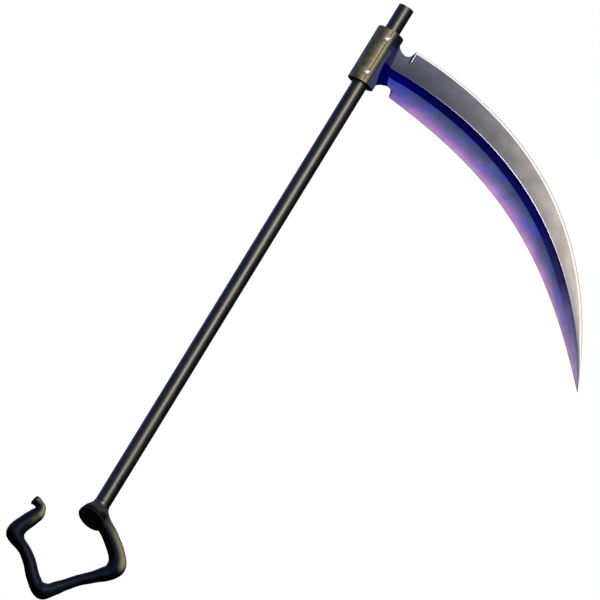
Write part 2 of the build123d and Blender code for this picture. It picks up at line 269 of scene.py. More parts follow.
def crook_enamel():
    """The shaft's enamel on the knob's neck, turning into a dull blue-black coat on the bar. The
    bar is painted near black as shade underneath, and carries a painted warm highlight on the outer
    right sides of its right leg and its hook."""
    made = Finish("crook_enamel_finish", Specular_IOR_Level=0.08)
    place = made.place()
    x, _, z = made.parts_of(place)
    neck = made.spread(z, foot_z - 24 * mm, foot_z - 6 * mm)
    clouds = made.noise(place, scale=22, detail=4)
    grain = made.noise(place, scale=160, detail=5, roughness=0.65)
    speckle = made.spread(grain, 0.4, 0.6, 0.0, 0.2)
    edges = made.calc("MULTIPLY", made.wear_mask(0.9 * mm, 0.80, 0.97), speckle)
    coat = made.ramp(clouds, [(0.3, seen(18, 27, 43)), (0.7, seen(22, 32, 48))])
    polished = made.ramp(clouds, [(0.3, shaft_coat[0]), (0.7, shaft_coat[1])])
    facing = made.node("TexCoord").outputs["Normal"]
    # Painted shade: faces turned downwards are blended to near black.
    upward = made.along(facing, (0.24, 0.0, 0.97))
    coat = made.blend(made.spread(upward, -0.16, -0.40), coat, seen(3, 3, 4))
    # Painted highlight: on the right leg and the hook, faces turned to the right and front are lightened
    # to warm grey.
    highlight_facing = made.along(facing, (0.55, -0.78, 0.30))
    right_leg = made.spread(x, 20 * mm, 60 * mm)
    above_corner = made.spread(z, foot_z - 122 * mm, foot_z - 98 * mm)
    hook = made.calc("MULTIPLY", above_corner, made.spread(x, -60 * mm, -90 * mm))
    painted_highlight_region = made.calc("MAXIMUM", right_leg, hook)
    painted_highlight = made.calc("POWER", made.spread(highlight_facing, 0.78, 1.0), 2.0)
    rubbed = made.calc("MULTIPLY", painted_highlight, painted_highlight_region)
    coat = made.blend(rubbed, coat, seen(196, 188, 154))
    base = made.blend(neck, coat, polished)
    base = made.blend(edges, base, seen(48, 50, 54))
    rough = made.spread(grain, 0.2, 0.8, 0.40, 0.48)
    normal = made.relief([(made.noise(place, scale=900, detail=2), 0.004 * mm), (grain, 0.004 * mm)])
    return made.finish(base, rough, normal, neck)


seam_x = 2.4 * mm               # where the collar's two edges meet


def bronzed_sheet():
    """Rolled sheet browned to olive bronze and brushed on the slant. Its rims are rubbed bright. Its
    right side, where the blade is fixed, carries painted shade and a painted violet rim light."""
    made = Finish("bronzed_sheet_finish", Anisotropic=0.35)
    x, y, z = made.parts_of(made.place())
    angle = made.calc("ARCTAN2", x, made.calc("MULTIPLY", y, -1.0))
    unrolled = made.joined(made.calc("MULTIPLY", angle, shell_high.x), z, 0.0)
    slant = made.stretched(unrolled, (2600, 90, 1), turn=(0, 0, math.radians(38)))
    brushed = made.noise(slant, detail=4, roughness=0.7)
    clouds = made.noise(unrolled, scale=60, detail=5, roughness=0.6)
    edges = made.wear_mask(1.2 * mm, 0.75, 0.96)
    browned = [
        (0.30, colour(112, 108, 86)),
        (0.50, colour(126, 121, 96)),
        (0.72, colour(142, 136, 108)),
    ]
    base = made.ramp(clouds, browned)
    base = made.blend(made.spread(brushed, 0.35, 0.75, 0.0, 0.45), base, colour(92, 90, 74))
    mottled = made.spread(clouds, 0.2, 0.6, 0.8, 1.0)
    # Painted shade: from 5 mm right of the axis the sheet darkens to navy.
    painted_right_shade = made.calc("MULTIPLY", made.spread(x, 5 * mm, 12 * mm), mottled)
    base = made.blend(painted_right_shade, base, colour(56, 64, 88))
    # Painted rim light: low on the right side, past 13 mm, the sheet turns pale blue violet.
    below = made.spread(z, collar_z + 40 * mm, collar_z + 18 * mm, 0.12, 1.0)
    painted_rim_light = made.calc("MULTIPLY", made.spread(x, 13 * mm, 22 * mm), below)
    base = made.blend(painted_rim_light, base, colour(150, 150, 236))
    # Painted shade: high on the right side, past 9 mm, the sheet darkens nearly to black.
    above = made.spread(below, 1.0, 0.2, 0.0, 0.7)
    dark = made.calc("MULTIPLY", made.spread(x, 9 * mm, 14 * mm), above)
    base = made.blend(dark, base, colour(26, 34, 48))
    base = made.blend(made.calc("MULTIPLY", edges, 0.6), base, colour(200, 192, 140))
    from_seam = made.calc("ABSOLUTE", made.calc("SUBTRACT", x, seam_x))
    in_seam = made.spread(from_seam, 0.7 * mm, 1.4 * mm, 1.0, 0.0)
    soil = made.calc("MULTIPLY", in_seam, made.spread(y, 0.0, -1 * mm))
    base = made.blend(soil, base, colour(46, 38, 22))
    rough = made.spread(made.calc("ADD", brushed, clouds), 0.7, 1.3, 0.44, 0.56)
    normal = made.relief([(brushed, 0.045 * mm), (clouds, 0.02 * mm)])
    return made.finish(base, rough, normal, made.spread(clouds, 0.3, 0.8, 1.0, 0.9))


def turned_steel(name, shade, dull):
    """Turned steel: fine rings about the piece's own middle, softened by handling marks."""
    made = Finish(name)
    x, _, z = made.parts_of(made.node("TexCoord").outputs["Generated"])
    across = made.calc("POWER", made.calc("SUBTRACT", x, 0.5), 2.0)
    upward = made.calc("POWER", made.calc("SUBTRACT", z, 0.5), 2.0)
    out = made.calc("SQRT", made.calc("ADD", across, upward))
    rings = made.noise(made.joined(out, 0.0, 0.0), scale=90, detail=3)
    marks = made.noise(made.place(), scale=700, detail=5, roughness=0.65)
    base = made.blend(made.spread(marks, 0.4, 0.75), shade, dull)
    rough = made.spread(made.calc("ADD", rings, marks), 0.7, 1.35, 0.46, 0.58)
    normal = made.relief([(rings, 0.006 * mm), (marks, 0.006 * mm)])
    return made.finish(base, rough, normal, made.spread(marks, 0.2, 0.9, 0.85, 0.75))


def plain_metal(name, dark, light, rough_low, rough_high, grain, depth):
    """Cast or machined metal that works out of sight: mottled, with a grain of its own size."""
    made = Finish(name)
    place = made.place()
    clouds = made.noise(place, scale=90, detail=5, roughness=0.6)
    pits = made.noise(place, scale=grain, detail=4, roughness=0.6)
    edges = made.wear_mask(0.6 * mm, 0.8, 0.97)
    mottled = made.ramp(clouds, [(0.3, dark), (0.7, light)])
    base = made.blend(made.calc("MULTIPLY", edges, 0.6), mottled, light)
    rough = made.spread(pits, 0.3, 0.7, rough_low, rough_high)
    normal = made.relief([(pits, depth), (clouds, depth)])
    return made.finish(base, rough, normal, made.spread(clouds, 0.2, 0.8, 0.95, 0.85))


def moulded_rubber():
    """Black rubber foot: fine moulded rings round the middle of its face, dust in the grain."""
    made = Finish("black_rubber_finish", Specular_IOR_Level=0.3)
    place = made.place()
    ring_pitch = 2.4 * mm
    low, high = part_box("foot_pad")
    centre = Vector(((low.x + high.x) / 2, low.y, low.z))
    away = made.node("VectorMath", {0: place, 1: centre}, operation="DISTANCE").outputs["Value"]
    waves = made.calc("SINE", made.calc("MULTIPLY", away, 2 * math.pi / ring_pitch))
    rings = made.spread(waves, -0.6, 0.6)
    grain = made.noise(place, scale=1500, detail=3)
    dust = made.noise(place, scale=120, detail=5, roughness=0.65)
    base = made.ramp(dust, [(0.45, colour(9, 9, 10)), (0.8, colour(26, 25, 24))])
    rough = made.spread(dust, 0.3, 0.8, 0.72, 0.92)
    return made.finish(base, rough, made.relief([(rings, 0.12 * mm), (grain, 0.05 * mm)]))


blade_length = 880.0            # millimetres along the blade's back, for the scale of its grain
facet_width = 40.0              # millimetres across a facet, likewise


def ground_steel(name, along_stops, across_shade=None, rough=(0.34, 0.48), metal=0.30):
    """Ground and tempered steel. The colour runs along the blade by its stops, across_shade turns
    it across the facet, and fine grinding lines cross the facet."""
    made = Finish(name, Specular_IOR_Level=0.0)
    u, v, _ = made.parts_of(made.node("UVMap", uv_map="blade_uv").outputs[0])
    along = made.calc("MULTIPLY", u, blade_length)
    across = made.calc("MULTIPLY", v, facet_width)
    flat = made.joined(along, across, 0.0)
    lines = made.noise(made.stretched(flat, (2.4, 0.05, 1)), detail=4, roughness=0.7)
    patches = made.noise(made.stretched(flat, (0.022, 0.03, 1)), detail=3, roughness=0.5)
    base = made.ramp(u, along_stops)
    if across_shade is not None:
        base = across_shade(made, base, u, v)
    dull = made.spread(patches, 0.3, 0.7, 0.0, 0.06)
    base = made.blend(dull, base, colour(120, 118, 128), "MULTIPLY")
    bright = made.spread(lines, 0.3, 0.7, 0.0, 0.08)
    base = made.blend(bright, base, colour(255, 255, 255), "SOFT_LIGHT")
    level = made.spread(made.calc("ADD", lines, patches), 0.6, 1.4, rough[0], rough[1])
    normal = made.relief([(lines, 0.010 * mm), (patches, 0.01 * mm)])
    return made.finish(base, level, normal, made.spread(patches, 0.2, 0.8, metal + 0.05, metal - 0.05))


def upper_painted_shade(made, base, u, v):
    """Painted shade: the upper face darkens towards the ridge, most near the heel."""
    share = made.calc("MULTIPLY", v, made.spread(u, 0.0, 1.0, 0.60, 0.22))
    return made.blend(share, base, colour(130, 136, 158), "MULTIPLY")


def hollow_painted_shade(made, base, _u, v):
    """Painted shade: the blued hollow is darkest under the ridge."""
    return made.blend(made.spread(v, 0.0, 0.6, 0.55, 0.0), base, colour(1, 1, 24), "MULTIPLY")


def edge_shade(made, base, u, v):
    """Temper colours: steel blue at the crease, through violet, to rose along the edge. They
    fade towards the tip, where the steel keeps its plain colour."""
    tempered = made.ramp(v, [
        (0.0, seen(52, 64, 116)),
        (0.30, seen(76, 80, 126)),
        (0.60, seen(108, 100, 156)),
        (0.82, seen(154, 118, 182)),
        (1.0, seen(178, 134, 196)),
    ])
    blued = made.ramp(v, [
        (0.0, seen(48, 60, 150)),
        (0.40, seen(74, 78, 168)),
        (0.70, seen(116, 102, 184)),
        (1.0, seen(180, 136, 206)),
    ])
    slanted = made.calc("ADD", made.calc("MULTIPLY", u, 15.0), made.calc("MULTIPLY", v, 0.7))
    cells = made.noise(made.joined(slanted, made.calc("MULTIPLY", v, 0.8), 0.0), detail=1)
    tempered = made.blend(made.spread(cells, 0.50, 0.62, 0.0, 0.75), tempered, blued)
    tempered = made.blend(made.spread(u, 0.02, 0.07, 0.5, 0.0), tempered, seen(40, 60, 184))
    return made.blend(made.spread(u, 0.70, 0.96), tempered, base)


root_start, flare_end = -0.05, -0.02     # the root's place along the blade, before the heel at 0


def root_shade(made, base, u, _v):
    """The root's upper half turns from violet blue at the collar to purple grey at the face."""
    return made.blend(made.spread(u, root_start, flare_end), base, seen(98, 90, 118))


finishes = {
    "black_enamel": shaft_enamel(),
    "crook_enamel": crook_enamel(),
    "black_rubber": moulded_rubber(),
    "black_steel": plain_metal(
        "black_steel_finish", colour(14, 14, 15), colour(34, 33, 32), 0.4, 0.6, 600, 0.02 * mm
    ),
    "cast_liner": plain_metal(
        "cast_liner_finish", colour(24, 24, 24), colour(48, 47, 44), 0.5, 0.75, 380, 0.08 * mm
    ),
    "pad_brass": plain_metal(
        "pad_brass_finish", colour(150, 118, 58), colour(206, 172, 96), 0.28, 0.42, 900, 0.01 * mm
    ),
    "bright_steel": turned_steel("bright_steel_finish", colour(232, 224, 222), colour(196, 186, 184)),
    "bronzed_sheet": bronzed_sheet(),
}

# Painted reflection: the upper face's grey steel brightens along the blade to near white towards the
# tip.
upper_painted_reflection_stops = [
    (0.0, seen(96, 99, 116)),
    (0.10, seen(105, 106, 122)),
    (0.30, seen(137, 136, 141)),
    (0.50, seen(178, 174, 173)),
    (0.70, seen(206, 199, 197)),
    (0.90, seen(208, 199, 199)),
    (1.0, seen(190, 170, 174)),
]
# Painted highlight: the line along the ridge, from dull blue at the heel to near white.
ridge_highlight_stops = [
    (0.0, seen(78, 82, 116)),
    (0.10, seen(112, 116, 154)),
    (0.30, seen(204, 206, 226)),
    (0.50, seen(236, 236, 244)),
    (0.75, seen(226, 220, 226)),
    (1.0, seen(200, 190, 198)),
]
hollow_stops = [
    (0.0, seen(2, 2, 100)),
    (0.10, seen(7, 7, 68)),
    (0.55, seen(12, 12, 78)),
    (0.72, seen(38, 37, 84)),
    (0.85, seen(102, 96, 140)),
    (1.0, seen(158, 144, 182)),
]
edge_stops = [(0.0, seen(90, 86, 150)), (0.80, seen(124, 112, 168)), (1.0, seen(166, 140, 188))]

blade_zones = {
    "hairline": ground_steel("blade_spine_finish", [(0, seen(58, 60, 68)), (1, seen(84, 82, 90))]),
    # Painted highlight: the back's bevel is coloured near white.
    "bevel": ground_steel(
        "blade_bevel_highlight_finish", [(0, colour(240, 240, 240)), (1, colour(238, 234, 232))], metal=0.08
    ),
    # The upper face, with its painted reflection and painted shade.
    "upper": ground_steel("blade_upper_painted_reflection_finish", upper_painted_reflection_stops, upper_painted_shade),
    # The painted highlight line along the ridge.
    "ridge": ground_steel("blade_ridge_highlight_finish", ridge_highlight_stops, rough=(0.2, 0.3)),
    # The blued hollow, with painted shade under the ridge.
    "hollow": ground_steel("blade_hollow_finish", hollow_stops, hollow_painted_shade),
    "edge": ground_steel("blade_edge_finish", edge_stops, edge_shade),
    "honed": ground_steel(
        "blade_honed_finish", [(0, seen(132, 84, 164)), (1, seen(160, 116, 178))]
    ),
    "root_upper": ground_steel("blade_root_finish", [(0, seen(62, 56, 168))], root_shade),
    # Painted shade: the root's lower half is dark navy.
    "root_lower": ground_steel("blade_root_painted_shade_finish", [(0, seen(2, 2, 124))]),
}

for piece in nodes.values():
    slot = piece.material_slots[0]
    if slot.material.name in finishes:
        slot.material = finishes[slot.material.name]


# ---- Blade --------------------------------------------------------------------------------

# The plan of the blade, in millimetres from the shaft's axis and from the collar's middle.
heel_x = 63.5
back_heel, edge_heel, tip = (heel_x, 54.5), (heel_x, -55), (695, -371)
heel_width = back_heel[1] - edge_heel[1]
ridge_half, crease_half, back_half, edge_half = 3.2, 1.8, 0.5, 0.2      # half thicknesses
tip_slimness = 0.35             # thickness at the tip, as a share of that at the heel
bevel_slope = 0.25              # half thickness gained per length across the back's bevel
upper_hollow, lower_hollow = 0.30, 0.18   # how far the two faces are ground in
root_x = 20.3                   # the root starts inside the collar
ridge_z = -1.7                  # height of the ridge in the root and the neck
root_reach = 46.0               # height of the root above and below the collar's middle
flare_line = {+1: (35.5, 29.6), -1: (35.5, 52.5)}     # x at the ridge, and x at root_reach
root_end = [(0, 3.1), (32, 2.0), (41, 1.5), (47.5, 1.2)]      # distance from the ridge, half thickness
wing_radius = 29.7              # the root leaves the collar's side as thin wings wrapped on it
wing_waist_x = 20.2             # x of the wings' boundary at the collar's middle
wing_corner_x = 28.2            # and at root_reach above and below it
seat_gap = 0.03 * mm            # between the root's seat and the collar
flare_columns, neck_columns = 12, 14      # sections of the swollen root, and of the neck
heel_column = flare_columns + neck_columns
heel_shares = [0, 0.0012, 0.003]          # close sections where the heel steps up to the blade
blade_stations = 150            # and even ones from there to the tip
last_share = 0.9985             # the last section stands just short of the point
heel_bevel, far_bevel = 3.8, 5.2          # width of the back's bevel, at the heel and beyond it
hairline_share = 0.18           # the dull part of that bevel
ridge_highlight_width = 1.2                # width of the painted highlight line along the ridge
honed_width = 1.2               # width of the sharpened rim along the edge

# Notch between the collar and each spur of the heel: inner end, bottom, outer end, spur.
notches = {
    +1: ((29, 47), (49, 35.6), (61.2, 47), back_heel),
    -1: ((29, -46), (48, -37.1), (59.5, -40.5), edge_heel),
}
notch_inner_radius, notch_outer_radius = 26.0, 14.0
# Beside the upper spur the neck steps up to the blade, from nothing at step_foot.
step_start_x, step_end_x, step_foot, step_share = 60.5, 65.0, 29.0, 0.4
lower_spur_x, lower_spur_z = 60.5, -37.0


def notch_outline(side, x):
    """Height of the notched outline at x, above (side +1) or below (-1) the neck."""
    inner, bottom, outer, spur = notches[side]
    if x <= inner[0]:
        return inner[1]
    if x >= outer[0]:
        return mix(outer[1], spur[1], (x - outer[0]) / (spur[0] - outer[0]))
    if x <= bottom[0]:
        first, second, radius = inner, bottom, notch_inner_radius
    else:
        first, second, radius = bottom, outer, notch_outer_radius
    centre = circle_centre(first, second, radius, side)
    return centre.y - side * math.sqrt(max(0.0, radius**2 - (x - centre.x) ** 2))


def back_point(share):
    """Point of the back's outline, at a share along the blade."""
    return cubic(back_heel, (371, 53.3), (582, -92.7), tip, share)


def edge_point(share):
    """Point of the edge's outline, at a share along the blade."""
    return cubic(edge_heel, (332, -79), (488, -150), tip, share)


def ridge_share(share):
    """How far the ridge lies from the back towards the edge."""
    return 0.488 + 0.02 * (1 - share) ** 16 - 0.12 * share - 0.25 * share**8


def crease_share(share):
    """How far the crease below the ridge lies from the back towards the edge."""
    ridge = ridge_share(share)
    return ridge + (1 - ridge) * (0.29 + 0.05 * (1 - share) ** 16 + 0.5 * share**5)


# Facets across the blade, from the back to the edge, with how many rows each is cut into. The
# back is a dull hairline beside a bevel painted near white as a highlight, and the upper face ends
# in a painted highlight line along the ridge.
facets = [
    ("hairline", 1),
    ("bevel", 2),
    ("upper", 8),
    ("ridge", 1),
    ("hollow", 5),
    ("edge", 9),
    ("honed", 1),
]
row_facets = [number for number, (_, rows) in enumerate(facets) for _ in range(rows)]
last_row = len(row_facets)


def bevel_width(share, ridge):
    """Width of the back's bevel, at a share along the blade and a distance from back to ridge."""
    return min(mix(heel_bevel, far_bevel, smooth_step(0, 0.3, share)), ridge / 2)


def facet_bounds(share, width):
    """Where the facets meet, in millimetres from the back, at a share along the blade."""
    ridge, crease = ridge_share(share) * width, crease_share(share) * width
    bevel, honed = bevel_width(share, ridge), min(honed_width, width / 16)
    ridge_start = ridge - min(ridge_highlight_width, ridge / 4)
    return [0, hairline_share * bevel, bevel, ridge_start, ridge, crease, width - honed, width]


def row_places(bounds):
    """Distance from the back of every row of vertices."""
    places = []
    for (_, rows), low, high in zip(facets, bounds, bounds[1:]):
        places += [mix(low, high, row / rows) for row in range(rows)]
    return places + [bounds[-1]]


def blade_thickness(share, width, across):
    """Half thickness in millimetres: flat bevels, and faces ground very slightly hollow."""
    slimness = 1 - (1 - tip_slimness) * share
    ridge, crease = ridge_share(share) * width, crease_share(share) * width
    bevel = bevel_width(share, ridge)
    profile = [
        (0, back_half * slimness),
        (bevel, (back_half + bevel_slope * bevel) * slimness),
        (ridge, ridge_half * slimness),
        (crease, crease_half * slimness),
        (width, edge_half),
    ]
    hollow = 0.0
    for low, high, depth in ((bevel, ridge, upper_hollow), (ridge, crease, lower_hollow)):
        if low < across < high:
            hollow = depth * slimness * math.sin(math.pi * (across - low) / (high - low))
    return table_value(profile, across) - hollow


def step_depth(point):
    """Share of the thickness lost beside the upper spur, where the heel steps up to the blade."""
    if step_start_x < point.x < step_end_x:
        return step_share * smooth_step(step_foot, back_heel[1], point.y)
    return 0.0


def blade_column(share):
    """Front vertices of one section: (x, z) in plan and half thickness, from back to edge."""
    back, edge = back_point(share), edge_point(share)
    width = (edge - back).length
    column = []
    for place in row_places(facet_bounds(share, width)):
        point = mix(back, edge, place / width)
        half = blade_thickness(share, width, place)
        column.append((point, half * (1 - step_depth(point))))
    return column


def outline_hit(side, start, end):
    """Where the line from start through end meets the notched outline, found by halving."""
    low, high = 0.0, 1.6
    for _ in range(40):
        middle = (low + high) / 2
        point = mix(start, end, middle)
        inside = side * (point.y - notch_outline(side, min(point.x, heel_x))) < 0
        low, high = (middle, high) if inside else (low, middle)
    return mix(start, end, low)


def wing_x(z):
    """X of the wings' boundary on the collar: an arc through its waist and its two corners."""
    depth = wing_corner_x - wing_waist_x
    radius = (root_reach**2 + depth**2) / (2 * depth)
    return wing_waist_x + radius - math.sqrt(radius**2 - z**2)


def root_column(ridge_x, end_x, swell):
    """Front vertices of one section of the root: its line leaves the ridge at ridge_x and leans
    to end_x[side] at root_reach. swell is 1 at the collar and 0 where the swollen root ends."""
    ridge_point = Vector((ridge_x, ridge_z))
    ends = {s: outline_hit(s, ridge_point, Vector((end_x[s], s * root_reach))) for s in (+1, -1)}
    lengths = {s: (ends[s] - ridge_point).length for s in ends}
    _, hairline, bevel, _, heel_ridge, heel_crease, heel_honed, _ = facet_bounds(0, heel_width)
    crease = lengths[+1] + (heel_crease - heel_ridge)
    rise = {}
    for s, end in ends.items():
        shifted_x = end.x + (wing_x(end.y) - root_x) * swell
        rise[s] = (notch_outline(s, shifted_x) - ridge_z) / (end.y - ridge_z)
    length = lengths[+1] + lengths[-1]
    ridge_start, honed_start = lengths[+1] - ridge_highlight_width, length - honed_width
    bounds = [0, hairline, bevel, ridge_start, lengths[+1], crease, honed_start, length]
    edge_scale = (honed_start - crease) / (heel_honed - heel_crease)
    column = []
    for place in row_places(bounds):
        side = +1 if place <= lengths[+1] else -1
        away = abs(place - lengths[+1])
        point = mix(ridge_point, ends[side], away / lengths[side])
        flat = blade_thickness(0, heel_width, heel_ridge - side * away)
        if swell > 0:
            wrapped_x = wing_x(point.y)
            z = ridge_z + (point.y - ridge_z) * rise[side]
            point = Vector((point.x + (wrapped_x - root_x) * swell, z))
            wrapped_half = math.sqrt(wing_radius**2 - wrapped_x**2)
            wing_half = math.sqrt(max(0.0, wing_radius**2 - point.x**2))
            flat = max(mix(table_value(root_end, away), wrapped_half, swell), wing_half)
        column.append((point, flat * (1 - step_depth(point))))
    return column, edge_scale


def blade_columns():
    """Every section of the blade from the collar to the tip: its place along the blade, its front
    vertices, and the width of its edge facet as a share of that facet's width at the heel."""
    columns = []
    for index in range(flare_columns):
        share = index / flare_columns
        ends = {side: mix(root_x, line[1], share) for side, line in flare_line.items()}
        columns.append((
            mix(root_start, flare_end, share),
            *root_column(mix(root_x, flare_line[+1][0], share), ends, 1 - share),
        ))
    for index in range(neck_columns):
        share = index / neck_columns
        ends = {side: mix(line[1], heel_x, share) for side, line in flare_line.items()}
        columns.append((
            mix(flare_end, 0, share),
            *root_column(mix(flare_line[+1][0], heel_x, share), ends, 0),
        ))
    even_shares = [last_share * (step + 1) / blade_stations for step in range(blade_stations)]
    return columns + [(share, blade_column(share), 1.0) for share in heel_shares + even_shares]


def zone_name(column, facet, middle):
    """Finish of a face, from its section, its facet and its middle in plan."""
    # Painted shade: the root's lower half takes the dark navy of root_lower.
    if column < flare_columns:
        return "root_upper" if facet in ("hairline", "bevel", "upper") else "root_lower"
    # Painted shade: the face of the step beside the upper spur takes the hollow's dark navy.
    if middle.y > step_foot and column in (heel_column - 1, heel_column):
        return "hollow"
    # Painted highlight: the line beside that step takes the bevel's near white.
    if middle.y > step_foot and column == heel_column + 1:
        return "bevel"
    # Painted shade: the chamfer on the lower spur takes the hollow's dark navy.
    if column < heel_column and middle.y < lower_spur_z and middle.x > lower_spur_x:
        return "hollow"
    if column < heel_column:
        return {"hairline": "upper", "bevel": "upper", "honed": "edge"}.get(facet, facet)
    return facet


def facet_place(facet, share, edge_scale):
    """Place across a facet, from 0 at its first row to 1 at its last. In the neck the edge facet
    is cut short by the notch, and the rims take the place of the facet beside them."""
    if edge_scale == 1.0:
        return share
    places = {"hairline": 0.0, "bevel": 0.0, "edge": share * edge_scale, "honed": edge_scale}
    return places.get(facet, share)


def add_sides(mesh, uv_layer, columns, rings):
    """Both sides of the blade, each face with its finish and its place along and across a facet."""
    names = list(blade_zones)
    for column in range(len(columns) - 1):
        for row, number in enumerate(row_facets):
            facet, rows = facets[number]
            first_row = row_facets.index(number)
            middle = (columns[column][1][row][0] + columns[column + 1][1][row + 1][0]) / 2
            zone = names.index(zone_name(column, facet, middle))
            for side in (-1, +1):
                corners = [(column, row), (column + 1, row), (column + 1, row + 1), (column, row + 1)]
                if side > 0:
                    corners.reverse()
                face = mesh.faces.new([rings[c][side, r] for c, r in corners])
                face.smooth = True
                face.material_index = zone
                for loop, (c, r) in zip(face.loops, corners):
                    u, _, edge_scale = columns[c]
                    across = facet_place(facet, (r - first_row) / rows, edge_scale)
                    loop[uv_layer].uv = (u, across)


def add_rims(mesh, uv_layer, columns, rings):
    """The thin rims along the back and the edge, and the two ends that close the blade."""
    names = list(blade_zones)
    rims = ((0, +1, facets[0][0]), (last_row, -1, facets[-1][0]))
    for column in range(len(columns) - 1):
        for row, near, facet in rims:
            corners = [(column, near), (column + 1, near), (column + 1, -near), (column, -near)]
            face = mesh.faces.new([rings[c][side, row] for c, side in corners])
            zone = zone_name(column, facet, columns[column][1][row][0])
            face.material_index = names.index(zone)
            for loop, (c, _) in zip(face.loops, corners):
                loop[uv_layer].uv = (columns[c][0], 0.5)
    for ring, near, zone in ((rings[0], +1, "root_lower"), (rings[-1], -1, "upper")):
        for row in range(last_row):
            corners = [(near, row), (-near, row), (-near, row + 1), (near, row + 1)]
            face = mesh.faces.new([ring[corner] for corner in corners])
            face.material_index = names.index(zone)


def mark_sharp(mesh, rings):
    """Sharp lines where the facets meet, and across both faces where root, neck and blade do."""
    facet_rows = [row_facets.index(number) for number in range(len(facets))] + [last_row]
    for ring, following in zip(rings, rings[1:]):
        for side in (-1, +1):
            for row in facet_rows:
                mesh.edges.get((ring[side, row], following[side, row])).smooth = False
    for number in (0, flare_columns, heel_column - 1, heel_column + 1, -1):
        ring = rings[number]
        for side in (-1, +1):
            for row in range(last_row):
                mesh.edges.get((ring[side, row], ring[side, row + 1])).smooth = False


def blade_mesh():
    """Closed mesh of the blade, from the collar to the tip."""
    columns = blade_columns()
    mesh = bmesh.new()
    uv_layer = mesh.loops.layers.uv.new("blade_uv")
    rings = []
    for _, column, _ in columns:
        ring = {}
        for side in (-1, +1):
            for row, (point, half) in enumerate(column):
                place = (point.x * mm, side * half * mm, collar_z + point.y * mm)
                ring[side, row] = mesh.verts.new(place)
        rings.append(ring)
    add_sides(mesh, uv_layer, columns, rings)
    add_rims(mesh, uv_layer, columns, rings)
    mark_sharp(mesh, rings)
    bmesh.ops.recalc_face_normals(mesh, faces=mesh.faces)
    made = bpy.data.meshes.new("blade_mesh")
    mesh.to_mesh(made)
    mesh.free()
    return made


def seated(mesh):
    """The mesh with the collar's round side cut out of the blade's root."""
    tool = bmesh.new()
    radius = shell_high.x + seat_gap
    depth = shell_high.z - shell_low.z
    middle = Matrix.Translation((0, 0, collar_z))
    bmesh.ops.create_cone(
        tool, cap_ends=True, segments=240, radius1=radius, radius2=radius, depth=depth, matrix=middle
    )
    tool_mesh = bpy.data.meshes.new("collar_cut")
    tool.to_mesh(tool_mesh)
    tool.free()
    block = new_piece("blade_block", mesh, blade_zones.values())
    cutter = new_piece("collar_cutter", tool_mesh, [blade_zones["root_lower"]])
    cut = block.modifiers.new("seat", "BOOLEAN")
    cut.operation = "DIFFERENCE"
    cut.solver = "EXACT"
    cut.object = cutter
    depsgraph = bpy.context.evaluated_depsgraph_get()
    result = bpy.data.meshes.new_from_object(block.evaluated_get(depsgraph), depsgraph=depsgraph)
    bpy.data.objects.remove(block)
    bpy.data.objects.remove(cutter)
    return result


blade = new_piece("scythe_blade", seated(blade_mesh()), [])
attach(blade, "head")
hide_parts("blade")


# ---- Crook --------------------------------------------------------------------------------

# Bar stations in millimetres: x, height above the shaft's foot, heading in degrees, bar radius.
bar_stations = [
    (0, 0, -90, 16.5),
    (2, -12, -70, 16.4),
    (20, -34, -37, 16.5),
    (47.5, -51, -38, 16.4),
    (73, -71.5, -45, 17),
    (89.5, -98, -90, 19.2),
    (80, -120, -133, 15.3),
    (60, -141, -134, 12.2),
    (41, -159.5, -135, 11.3),
    (22, -182.5, -130, 11.6),
    (8, -200, -130, 13.5),
    (-11, -218, -180, 17.8),
    (-31, -211.5, -222, 14.4),
    (-45, -200, -224, 13.8),
    (-62, -182, -223, 13.3),
    (-83, -166, -212, 12.6),
    (-117, -147, -251, 18.8),
    (-108.5, -112, -292, 15.9),
    (-100, -92, -290, 14.6),
    (-99.5, -76, -250, 10.6),
    (-109, -70, -208, 9.8),
    (-121.5, -68, -192, 11.2),
]
knob_stations = [(0, 0, 16.4, 0), (-1, -10, 17.6, 0.25), (-1, -22, 25, 0.6), (-2, -31, 28.6, 0.9)]
knob_face_centre = Vector((-3, 0, -42))
knob_face_normal = Vector((-0.15, -0.37, -0.92)).normalized()
knob_face_radius = 29.5
pad_thickness = 4.0
tip_round = 5.0                 # rounding of the bar's free end
spigot_radius, spigot_length = 14.0, 60.0
spigot_root = -10.0             # the spigot starts inside the knob
ring_points = 48
span_steps = 6                  # rings from one station to the next
voxel = 1.1 * mm                # mesh size of the surface that joins bar, knob and spigot
meeting_x, meeting_height = 8.0, -26.0    # where the knob and the bar flow together
meeting_reach = 40.0
free_rounds, meeting_rounds = 8, 32       # how often it is relaxed all over, then near the meeting
kept_rim = 3.0                  # left as it is next to the shaft's foot and the pad's seat


def ring_at(centre, normal, radius):
    """Circle of points in millimetres from the shaft's foot, about a centre, square to normal."""
    side = Vector((0, 1, 0))
    side = (side - normal * side.dot(normal)).normalized()
    up = normal.cross(side)
    turns = [2 * math.pi * index / ring_points for index in range(ring_points)]
    return [centre + (side * math.cos(turn) + up * math.sin(turn)) * radius for turn in turns]


def tube(mesh, rings):
    """Closed tube through rings of points, in metres in the frame."""
    loops = []
    for ring in rings:
        loops.append([mesh.verts.new(point * mm + Vector((0, 0, foot_z))) for point in ring])
    for first, second in zip(loops, loops[1:]):
        for index in range(ring_points):
            after = (index + 1) % ring_points
            mesh.faces.new((first[index], first[after], second[after], second[index]))
    mesh.faces.new(loops[0][::-1])
    mesh.faces.new(loops[-1])


